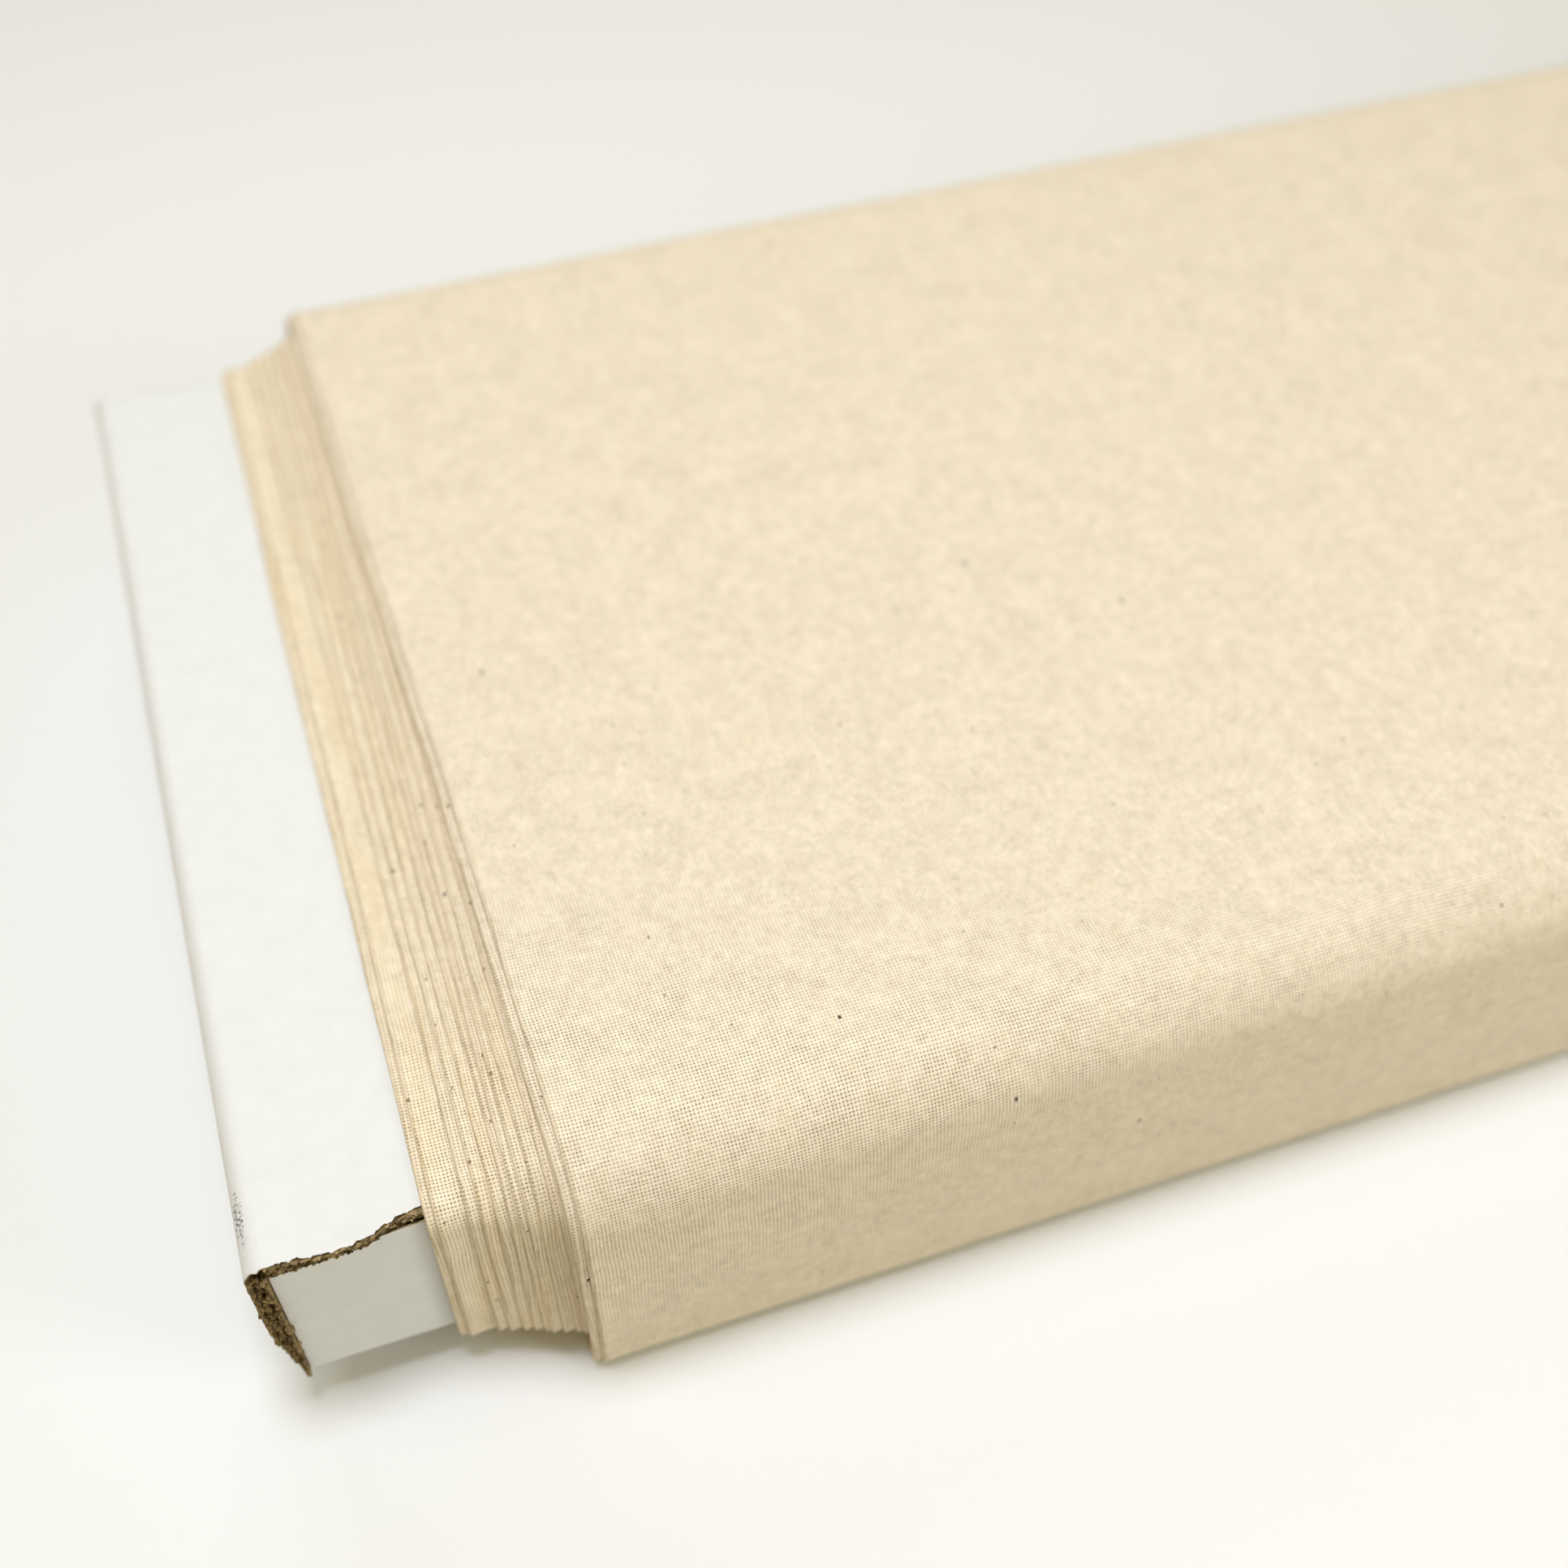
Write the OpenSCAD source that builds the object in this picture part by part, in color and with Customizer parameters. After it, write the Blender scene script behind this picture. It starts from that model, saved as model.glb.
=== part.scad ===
// Fabric bolt. A length of plain cotton cloth, folded double lengthways, is wound flat round a
// hollow board that is folded from one blank of white-faced corrugated card.
// X runs along the bolt, Y across it from the tucked flange to the spine, and Z up.
// The origin is the middle of the underside. Sizes are in millimetres.

/* [Board] */
// Length of the board, along the bolt
board_l = 610; // [608:1:760]
// Width of the board, across the bolt
board_w = 203; // [150:1:260]
// Thickness of the folded board
board_t = 38; // [26:1:50]
// Thickness of the corrugated sheet
sheet_t = 3; // [2.6:0.1:4]
// Thickness of each flat paper liner of the sheet
liner_t = 0.3; // [0.2:0.05:0.4]
// Thickness of the fluted paper between the liners
medium_t = 0.3; // [0.2:0.05:0.4]
// Length of one flute
flute_pitch = 6.4; // [5:0.1:8]
// Inner radius of the sheet's creases
crease_r = 0.2; // [0.1:0.1:1]
// How far the tucked flange stands behind the top panel's raw front edge
flange_back = 1; // [0.5:0.1:2]

/* [Cloth] */
// Width of the cloth once it is folded double
cloth_w = 559; // [450:1:561]
// Thickness of the doubled cloth under winding tension
cloth_t = 0.6; // [0.4:0.05:0.8]
// Space between one turn and the next
turn_gap = 0.04; // [0.03:0.01:0.08]
// Distance from the board's left end to the first turn's folded edge
first_edge = 26.2; // [24:0.1:29]
// How far each inner turn's folded edge stands to the right of the one under it
turn_steps = [0, 1.5, 4.5, 1.8, 2, 1.7, 1.4, 1.1, 1.7]; // [0:0.1:5]
// Number of turns between the inner and the loose ones, whose edges are out of sight
buried_turns = 4; // [2:1:6]
// How far the buried turns' edges stand to the right of the last inner one
buried_back = 6; // [3:0.5:8]
// Distance from the board's left end to the first loose turn's folded edge
loose_edge = 43.7; // [42:0.1:48]
// How far the last turn's folded edge stands to the right of the loose one under it
last_step = 1.5; // [0.5:0.1:2.5]
// Inner radius of the loose turns' lower front fold
loose_fold_r = 2.5; // [1:0.1:6]
// How far the free end of the cloth reaches back under the bolt
tail_l = 105; // [40:1:140]

/* [Hidden] */
$fn = 96;
inner_turns = len(turn_steps);
loose_turns = 2;
turns = inner_turns + buried_turns + loose_turns;
turn_pitch = cloth_t + turn_gap;
mid_z = board_t / 2 + turns * turn_pitch;
left_x = -board_l / 2;
// Outer radius of the sheet's creases
fold_r = sheet_t + crease_r;
// Flat faces of the sheet's plies keep this far apart
ply_gap = 0.03;
// Space between a flap's top edge and the crease it hangs from
flap_gap = 0.15;
// Height of the top panel's underside over the board's middle
top_inside = board_t / 2 - sheet_t;
// Space between the flange's top edge and the top panel's underside
tuck_gap = 0.1;
// The panels stop this far short of the end flaps
end_gap = 0.1;
panel_x = board_l / 2 - sheet_t - end_gap;
flute_steps = 8;
// Half the height of the flutes
flute_rise = sheet_t / 2 - liner_t - ply_gap - medium_t / 2;
// Space at the last turn's folds and at its cut end
split_gap = 0.06;
corner_y = board_w / 2 - fold_r;
corner_z = board_t / 2 - fold_r;
tail_end = -corner_y + tail_l;
// Longer than any section is wide
far = board_w + board_t;

cloth_colour = [0.93, 0.86, 0.72];
white_colour = [0.94, 0.94, 0.92];
kraft_colour = [0.58, 0.46, 0.3];

function sum_to(list, last) = last < 0 ? 0 : list[last] + sum_to(list, last - 1);

// Left edge of turn i, counted from 1 at the board
function turn_x(i) =
    i <= inner_turns ? left_x + first_edge + sum_to(turn_steps, i - 1) :
    i <= inner_turns + buried_turns
        ? left_x + first_edge + sum_to(turn_steps, inner_turns - 1) + buried_back :
    left_x + loose_edge + (i == turns ? last_step : 0);

function turn_name(i) = str("cloth_turn_", i < 10 ? "0" : "", i);

// Draws a section given in Y and Z, measured from the board's middle, as a bar from x0 to x1
module along_bolt(x0, x1) {
    translate([x0, 0, mid_z])
        rotate([90, 0, 90])
            linear_extrude(x1 - x0)
                children();
}

// A rounded rectangle that stands outside the board's outline by grow, or inside it if negative
module outline(grow, set_back = 0) {
    w = board_w + 2 * grow - set_back;
    t = board_t + 2 * grow;
    r = fold_r + grow;
    translate([set_back / 2, 0]) {
        square([w, t - 2 * r], center = true);
        square([w - 2 * r, t], center = true);
        for (y = [-1, 1], z = [-1, 1])
            translate([y * (w / 2 - r), z * (t / 2 - r)])
                circle(r);
    }
}

// Fills a front corner of the outline that stands grow away from the board, at the top if side is 1
// or at the bottom if it is -1, until its radius is only r
module sharper_corner(grow, side, r) {
    reach = fold_r + grow;
    translate([-board_w / 2 - grow, side * (board_t / 2 + grow)])
        mirror([0, (side + 1) / 2]) {
            translate([r, 0])
                square([reach - r, reach]);
            translate([0, r])
                square([reach, reach - r]);
            translate([r, r])
                circle(r);
        }
}

// The inside or outside of turn i, standing grow away from the board. The raw front edge of the top
// panel isn't creased, so the cloth turns round its sharp corner. The loose turns hang down to the
// table in front, in a sharp fold.
module wrap(i, grow) {
    outline(grow);
    sharper_corner(grow, 1, grow);
    if (i > turns - loose_turns)
        sharper_corner(grow, -1, loose_fold_r + grow - (turns - loose_turns) * turn_pitch);
}

// Section of the folded sheet between two depths under its outer face. It is a ring that is
// open at the front, where the top panel's raw edge lies over the tucked flange.
module sheet_section(depth0, depth1) {
    difference() {
        outline(-depth0, flange_back);
        outline(-depth1, flange_back);
        translate([-board_w / 2, top_inside - tuck_gap])
            square([flange_back + fold_r, sheet_t + 2 * tuck_gap]);
    }
    translate([-board_w / 2, board_t / 2 - depth1])
        square([board_w / 2, depth1 - depth0]);
}

// A wavy strip of paper, length long, drawn in the plane with its waves across Y
module flutes(length) {
    count = ceil(length / flute_pitch * flute_steps);
    along = [for (i = [0:count]) i * length / count];
    wave = [for (x = along) flute_rise * sin(360 * x / flute_pitch)];
    polygon(concat(
        [for (i = [0:count]) [along[i], wave[i] - medium_t / 2]],
        [for (i = [count:-1:0]) [along[i], wave[i] + medium_t / 2]]
    ));
}

// Fluting of a level panel whose middle is z over the board's middle, from y0 to y1
module level_fluting(z, y0, y1) {
    translate([-panel_x, y1, mid_z + z])
        rotate([90, 0, 0])
            linear_extrude(y1 - y0)
                flutes(2 * panel_x);
}

// Fluting of an upright wall whose middle is at y, from z0 to z1
module upright_fluting(y, z0, z1) {
    translate([-panel_x, y, mid_z + z0])
        linear_extrude(z1 - z0)
            flutes(2 * panel_x);
}

// One closed turn of the doubled cloth
module closed_turn(i) {
    color(cloth_colour)
        along_bolt(turn_x(i), turn_x(i) + cloth_w)
            difference() {
                wrap(i, i * turn_pitch);
                wrap(i, i * turn_pitch - cloth_t);
            }
}

// The share of the last turn that lies in front, between the middles of its two folds
module front_zone() {
    along_bolt(turn_x(turns) - 1, turn_x(turns) + cloth_w + 1)
        polygon([
            [-corner_y, -corner_z],
            [-corner_y - far, -corner_z - far],
            [-corner_y - far, corner_z + far],
            [-corner_y, corner_z]
        ]);
}

// The share of the last turn that lies under the bolt, from the lower fold to the cut end
module tail_zone(gap) {
    along_bolt(turn_x(turns) - 1, turn_x(turns) + cloth_w + 1)
        polygon([
            [-corner_y + gap, -corner_z],
            [-corner_y - far + gap, -corner_z - far],
            [tail_end - gap, -corner_z - far],
            [tail_end - gap, -corner_z]
        ]);
}

// Turns of cloth. The last one is open: its front and its free end are nodes of their own.
module cloth_turn(i) {
    if (i < turns)
        closed_turn(i);
    else
        difference() {
            closed_turn(i);
            translate([0, 0, split_gap])
                front_zone();
            front_zone();
            tail_zone(-split_gap);
        }
}

module cloth_front_drop() {
    intersection() {
        closed_turn(turns);
        front_zone();
    }
}

module cloth_tail() {
    intersection() {
        closed_turn(turns);
        tail_zone(split_gap);
    }
}

// White face of the sheet, with the creases at both ends that the flaps hang from
module board_outer_liner() {
    color(white_colour) {
        along_bolt(-panel_x, panel_x)
            sheet_section(0, liner_t);
        for (side = [0, 1])
            mirror([side, 0, 0])
                end_crease();
    }
}

// Quarter round that carries the white face from the top panel over the left end
module end_crease() {
    centre_x = left_x + fold_r;
    y0 = -board_w / 2;
    y1 = board_w / 2 - fold_r;
    translate([centre_x, y1, mid_z + board_t / 2 - fold_r])
        rotate([90, 0, 0])
            linear_extrude(y1 - y0)
                intersection() {
                    difference() {
                        circle(fold_r);
                        circle(fold_r - liner_t);
                    }
                    translate([-fold_r, 0])
                        square(fold_r);
                }
    translate([centre_x, y0, mid_z + board_t / 2 - liner_t])
        cube([-panel_x - centre_x, y1 - y0, liner_t]);
}

module board_inner_liner() {
    color(kraft_colour)
        along_bolt(-panel_x, panel_x)
            sheet_section(sheet_t - liner_t, sheet_t);
}

module top_fluting() {
    color(kraft_colour)
        level_fluting(board_t / 2 - sheet_t / 2, -board_w / 2, corner_y);
}

module bottom_fluting() {
    color(kraft_colour)
        level_fluting(-board_t / 2 + sheet_t / 2, -corner_y + flange_back, corner_y);
}

module back_fluting() {
    color(kraft_colour)
        upright_fluting(board_w / 2 - sheet_t / 2, -corner_z, corner_z);
}

module flange_fluting() {
    color(kraft_colour)
        upright_fluting(
            -board_w / 2 + flange_back + sheet_t / 2, -corner_z, top_inside - tuck_gap
        );
}

// One flat ply of the left flap, between two depths under its outer face
module flap_ply(depth0, depth1) {
    translate([left_x + depth0, -board_w / 2, mid_z - board_t / 2])
        cube([depth1 - depth0, board_w, board_t - fold_r - flap_gap]);
}

module flap_fluting() {
    translate([left_x + sheet_t / 2, -board_w / 2, mid_z - board_t / 2])
        rotate([-90, -90, 0])
            linear_extrude(board_w)
                flutes(board_t - fold_r - flap_gap);
}

module left_flap_outer_liner() {
    color(white_colour)
        flap_ply(0, liner_t);
}

module left_flap_fluting() {
    color(kraft_colour)
        flap_fluting();
}

module left_flap_inner_liner() {
    color(kraft_colour)
        flap_ply(sheet_t - liner_t, sheet_t);
}

module right_flap_outer_liner() {
    mirror([1, 0, 0])
        left_flap_outer_liner();
}

module right_flap_fluting() {
    mirror([1, 0, 0])
        left_flap_fluting();
}

module right_flap_inner_liner() {
    mirror([1, 0, 0])
        left_flap_inner_liner();
}

for (i = [1:turns])
    cloth_turn(i);
cloth_front_drop();
cloth_tail();
board_outer_liner();
board_inner_liner();
top_fluting();
bottom_fluting();
back_fluting();
flange_fluting();
left_flap_outer_liner();
left_flap_fluting();
left_flap_inner_liner();
right_flap_outer_liner();
right_flap_fluting();
right_flap_inner_liner();
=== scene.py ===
"""The looks of a fabric bolt: doubled cotton cloth wound flat round a white-faced card board.

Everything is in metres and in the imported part's own axes: X runs along the bolt, Y across it from
the tucked flange to the spine, and Z up. Left is the end with the wide bare board.
"""
import math

import bmesh
import bpy
import numpy as np
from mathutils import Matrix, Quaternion, Vector


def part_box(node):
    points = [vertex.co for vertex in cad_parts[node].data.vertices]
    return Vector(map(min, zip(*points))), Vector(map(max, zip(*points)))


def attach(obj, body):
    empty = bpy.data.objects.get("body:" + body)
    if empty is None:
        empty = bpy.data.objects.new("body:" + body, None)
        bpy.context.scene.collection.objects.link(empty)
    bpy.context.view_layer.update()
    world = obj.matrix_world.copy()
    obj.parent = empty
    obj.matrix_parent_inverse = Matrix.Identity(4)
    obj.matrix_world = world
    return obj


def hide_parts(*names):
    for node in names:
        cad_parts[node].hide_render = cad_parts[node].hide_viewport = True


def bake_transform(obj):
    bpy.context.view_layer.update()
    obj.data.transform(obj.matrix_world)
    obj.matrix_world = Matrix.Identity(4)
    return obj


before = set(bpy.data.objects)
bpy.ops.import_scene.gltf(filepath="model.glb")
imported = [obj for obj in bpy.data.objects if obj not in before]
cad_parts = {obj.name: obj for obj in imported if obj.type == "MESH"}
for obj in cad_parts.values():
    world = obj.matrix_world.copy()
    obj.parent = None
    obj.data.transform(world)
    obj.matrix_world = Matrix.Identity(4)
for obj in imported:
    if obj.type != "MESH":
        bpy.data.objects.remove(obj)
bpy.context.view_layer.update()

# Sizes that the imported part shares
SHEET_T = 0.003
LINER_T = 0.0003
CREASE_R = 0.0032
FLANGE_BACK = 0.001
CLOTH_T = 0.0006
INNER_TURNS = 9
BURIED_TURNS = 4
FLUTE_PITCH = 0.0064
THREAD = 0.00057
# Radius at which the cloth rounds over the top panel's raw front edge
PRESSED_R = 0.003
# How far that edge stands back near the cloth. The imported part's edge is straight; this follows the photo
PRESSED_BACK = 0.0018
# How far the doubled cloth swells at its fold, and over what length
FOLD_SWELL = 0.00026
FOLD_REACH = 0.0013
# How deep the rounded nose of the fold is
NOSE = 0.00045

BOARD_LO, BOARD_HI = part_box("board_outer_liner")
HALF_L, HALF_W = BOARD_HI.x, BOARD_HI.y
HALF_T = (BOARD_HI.z - BOARD_LO.z) / 2
MID_Z = (BOARD_HI.z + BOARD_LO.z) / 2
PANEL_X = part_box("board_inner_liner")[1].x
MM = 0.001


# ---------------------------------------------------------------- shapes

def smooth(t):
    """0 below t = 0, 1 above t = 1, and a soft step between them."""
    t = np.clip(t, 0, 1)
    return t * t * (3 - 2 * t)


def ripple(seed, waves, shortest, longest):
    """A smooth random function of a length, between about -1 and 1, made of a few sine waves."""
    rng = np.random.default_rng(seed)
    lengths = np.geomspace(longest, shortest, waves)
    phases = rng.uniform(0, 2 * math.pi, waves)
    heights = (lengths / longest) ** 0.6
    heights /= heights.sum()

    def value(s):
        s = np.asarray(s, float)
        return sum(h * np.sin(2 * math.pi * s / w + p) for h, w, p in zip(heights, lengths, phases))

    return value


def line(start, end, angle, step):
    """Points from start to end, and their outward normals, which all point at angle."""
    start, end = np.array(start, float), np.array(end, float)
    count = max(1, math.ceil(np.linalg.norm(end - start) / step))
    t = np.linspace(0, 1, count + 1)[:, None]
    return start + (end - start) * t, np.full(count + 1, angle)


def arc(centre, radius, start, end, steps):
    """Points round centre while the outward normal turns from start to end, in degrees."""
    angle = np.linspace(start, end, steps + 1)
    turned = np.radians(angle)
    ring = np.stack([np.cos(turned), np.sin(turned)], 1)
    return np.array(centre, float) + radius * ring, angle


def join(parts):
    """One path from parts that follow each other: points, normals and the length up to each point."""
    points = np.concatenate([p[1:] if i else p for i, (p, _) in enumerate(parts)])
    angles = np.radians(np.concatenate([a[1:] if i else a for i, (_, a) in enumerate(parts)]))
    normals = np.stack([np.cos(angles), np.sin(angles)], 1)
    steps = np.linalg.norm(np.diff(points, axis=0), axis=1)
    return points, normals, np.concatenate([[0], np.cumsum(steps)])


def part_of(path, first, last):
    """The stretch of a path from one index to another, both included."""
    return tuple(values[first:last + 1] for values in path)


def winding(grow, low_r, y_start, y_end, step=4 * MM, steps=8):
    """One turn round the board in Y and Z from its middle, grow away from it. It starts under the
    bolt, goes up the back, over the top, down the front and back under it."""
    w, t = HALF_W + grow, HALF_T + grow
    back_r, top_r = CREASE_R + grow, PRESSED_R + grow
    return [
        line((y_start, -t), (w - back_r, -t), -90, step),
        arc((w - back_r, back_r - t), back_r, -90, 0, steps),
        line((w, back_r - t), (w, t - back_r), 0, step),
        arc((w - back_r, t - back_r), back_r, 0, 90, steps),
        line((w - back_r, t), (top_r - w, t), 90, step),
        arc((top_r - w, t - top_r), top_r, 90, 180, steps),
        line((-w, t - top_r), (-w, low_r - t), 180, step),
        arc((low_r - w, low_r - t), low_r, 180, 270, steps),
        line((low_r - w, -t), (y_end, -t), 270, step),
    ]


def sweep(name, path, profile, materials, place, slots=None, closed=False, caps=(0, 0), start=0.0):
    """A solid made by taking a closed profile along a path.

    profile holds (across, height, u) for each of its points. place(across, height, path) gives the
    three coordinates. slots gives each side of the profile its material, and caps the two ends. start
    is the length at which the cloth's pattern begins.
    """
    points, normals, lengths = path
    across, height, u = (np.array(c, float) for c in zip(*profile))
    rows, cols = len(points) - (1 if closed else 0), len(across)
    co = place(across[None, :], height[None, :], (points[:rows], normals[:rows], lengths[:rows]))
    mesh = bpy.data.meshes.new(name)
    faces, uvs, face_slots = [], [], []
    slots = slots or [0] * cols
    u_next = np.append(u[1:], u[0])
    for k in range(rows if closed else rows - 1):
        k2 = (k + 1) % rows
        for j in range(cols):
            j2 = (j + 1) % cols
            faces.append((k * cols + j, k * cols + j2, k2 * cols + j2, k2 * cols + j))
            v0, v1 = start + lengths[k], start + lengths[k + 1]
            uvs += [(u[j], v0), (u_next[j], v0), (u_next[j], v1), (u[j], v1)]
            face_slots.append(slots[j])
    if not closed:
        for row, order, cap in ((0, range(cols - 1, -1, -1), caps[0]), (rows - 1, range(cols), caps[1])):
            faces.append(tuple(row * cols + j for j in order))
            uvs += [(u[j], height[j] + lengths[row]) for j in order]
            face_slots.append(cap)
    mesh.from_pydata(co.reshape(-1, 3).tolist(), [], faces)
    layer = mesh.uv_layers.new(name="weave")
    layer.data.foreach_set("uv", np.array(uvs, np.float32).ravel())
    for material in materials:
        mesh.materials.append(material)
    mesh.polygons.foreach_set("material_index", face_slots)
    mesh.polygons.foreach_set("use_smooth", [True] * len(faces))
    mesh.set_sharp_from_angle(angle=math.radians(50))
    mesh.update()
    piece = bpy.data.objects.new(name, mesh)
    bpy.context.scene.collection.objects.link(piece)
    face_outwards(mesh)
    return piece


def face_outwards(mesh):
    """Turns every face of a closed mesh the right way out."""
    bm = bmesh.new()
    bm.from_mesh(mesh)
    bmesh.ops.recalc_face_normals(bm, faces=bm.faces)
    bm.to_mesh(mesh)
    bm.free()


# ---------------------------------------------------------------- materials

class Graph:
    """A material and its node tree, with the tree's maths written as method calls."""

    def __init__(self, name, roughness, specular):
        self.material = bpy.data.materials.new(name)
        self.material.use_nodes = True
        self.tree = self.material.node_tree
        self.shader = self.tree.nodes["Principled BSDF"]
        self.shader.inputs["Roughness"].default_value = roughness
        self.shader.inputs["Specular IOR Level"].default_value = specular

    def put(self, value, socket):
        if isinstance(value, bpy.types.NodeSocket):
            self.tree.links.new(value, socket)
        else:
            socket.default_value = value

    def node(self, kind, *inputs, **settings):
        made = self.tree.nodes.new(kind)
        for key, value in settings.items():
            setattr(made, key, value)
        for socket, value in inputs:
            self.put(value, made.inputs[socket])
        return made

    def maths(self, operation, *values, clamp=False):
        inputs = list(enumerate(values))
        return self.node("ShaderNodeMath", *inputs, operation=operation, use_clamp=clamp).outputs[0]

    def add(self, a, b):
        return self.maths("ADD", a, b)

    def sub(self, a, b):
        return self.maths("SUBTRACT", a, b)

    def mul(self, a, b):
        return self.maths("MULTIPLY", a, b)

    def scaled(self, value, low, high, to_low, to_high):
        """value carried from one range to another, and held at its ends."""
        inputs = (("Value", value), ("From Min", low), ("From Max", high),
                  ("To Min", to_low), ("To Max", to_high))
        return self.node("ShaderNodeMapRange", *inputs).outputs[0]

    def mix(self, factor, a, b, blend="MIX"):
        made = self.node("ShaderNodeMix", data_type="RGBA", blend_type=blend)
        self.put(factor, made.inputs[0])
        self.put(a, made.inputs[6])
        self.put(b, made.inputs[7])
        return made.outputs[2]

    def join(self, x, y, z=0.0):
        return self.node("ShaderNodeCombineXYZ", (0, x), (1, y), (2, z)).outputs[0]

    def split(self, vector):
        return self.node("ShaderNodeSeparateXYZ", (0, vector)).outputs

    def noise(self, vector, size, detail=2.0):
        """Smooth noise from 0 to 1 whose lumps are about size across."""
        inputs = (("Vector", vector), ("Scale", 1 / size), ("Detail", detail))
        return self.node("ShaderNodeTexNoise", *inputs).outputs["Fac"]

    def random(self, value, offset):
        """A steady random number from 0 to 1 for each whole value."""
        shifted = self.add(value, offset)
        return self.node("ShaderNodeTexWhiteNoise", ("W", shifted), noise_dimensions="1D").outputs[0]

    def bump(self, height, distance, strength=1.0):
        inputs = (("Height", height), ("Distance", distance), ("Strength", strength))
        made = self.node("ShaderNodeBump", *inputs)
        self.put(made.outputs[0], self.shader.inputs["Normal"])

    def colour(self, value):
        self.put(value, self.shader.inputs["Base Color"])


BROWN_SEED = (0.19, 0.115, 0.05, 1)
BLACK_SEED = (0.035, 0.025, 0.018, 1)
# Each kind of fleck: cell and largest radius in millimetres, share of the cells, strength, colour
FLECKS = [
    (3.2, 0.17, 0.07, 0.6, BROWN_SEED),
    (9, 0.3, 0.2, 0.8, BROWN_SEED),
    (14, 0.45, 0.13, 0.95, BLACK_SEED),
]


def seeds(graph, plane, cell, radius, share):
    """A mask of scattered, uneven seed flecks: share of the cells hold one, up to radius wide."""
    u, v, _ = graph.split(plane)
    wobble = graph.mul(graph.sub(graph.noise(plane, radius), 0.5), 2.2 * radius)
    bent = graph.join(graph.add(graph.mul(u, 1.25), wobble), graph.sub(graph.mul(v, 0.8), wobble), 0.0)
    made = graph.node("ShaderNodeTexVoronoi", ("Vector", bent), ("Scale", 1 / cell),
                      voronoi_dimensions="2D")
    chance, size, _ = graph.split(made.outputs["Color"])
    reach = graph.mul(graph.scaled(size, 0, 1, 0.35, 1), radius / cell)
    inside = graph.scaled(graph.sub(made.outputs["Distance"], reach), -0.2 * radius / cell, 0, 1, 0)
    return graph.mul(inside, graph.maths("LESS_THAN", chance, share))


def threads(graph, along, across, phase):
    """One set of threads: how high each point stands, from 0 in a gap to 1, and how thick its thread
    is there. along and across are in threads, and phase is 0 or 1 for the set that starts on top or
    below."""
    number = graph.maths("FLOOR", across)
    off = graph.sub(graph.sub(across, number), 0.5)
    swell = graph.noise(graph.join(graph.mul(along, 0.3), graph.mul(number, 3.7), phase), 1.0)
    half_width = graph.add(graph.mul(graph.random(number, 40 * phase), 0.03),
                           graph.scaled(swell, 0.3, 0.7, 0.32, 0.46))
    reach = graph.maths("DIVIDE", off, half_width)
    body = graph.maths("SQRT", graph.maths("MAXIMUM", graph.sub(1.0, graph.mul(reach, reach)), 0.0))
    side = graph.sub(1.0, graph.mul(graph.maths("FLOORED_MODULO", number, 2.0), 2.0))
    wave = graph.mul(graph.maths("SINE", graph.mul(along, math.pi)), side)
    lift = graph.add(graph.mul(wave, 0.36 if phase == 0 else -0.36), 0.64)
    return graph.mul(body, lift), swell


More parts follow.
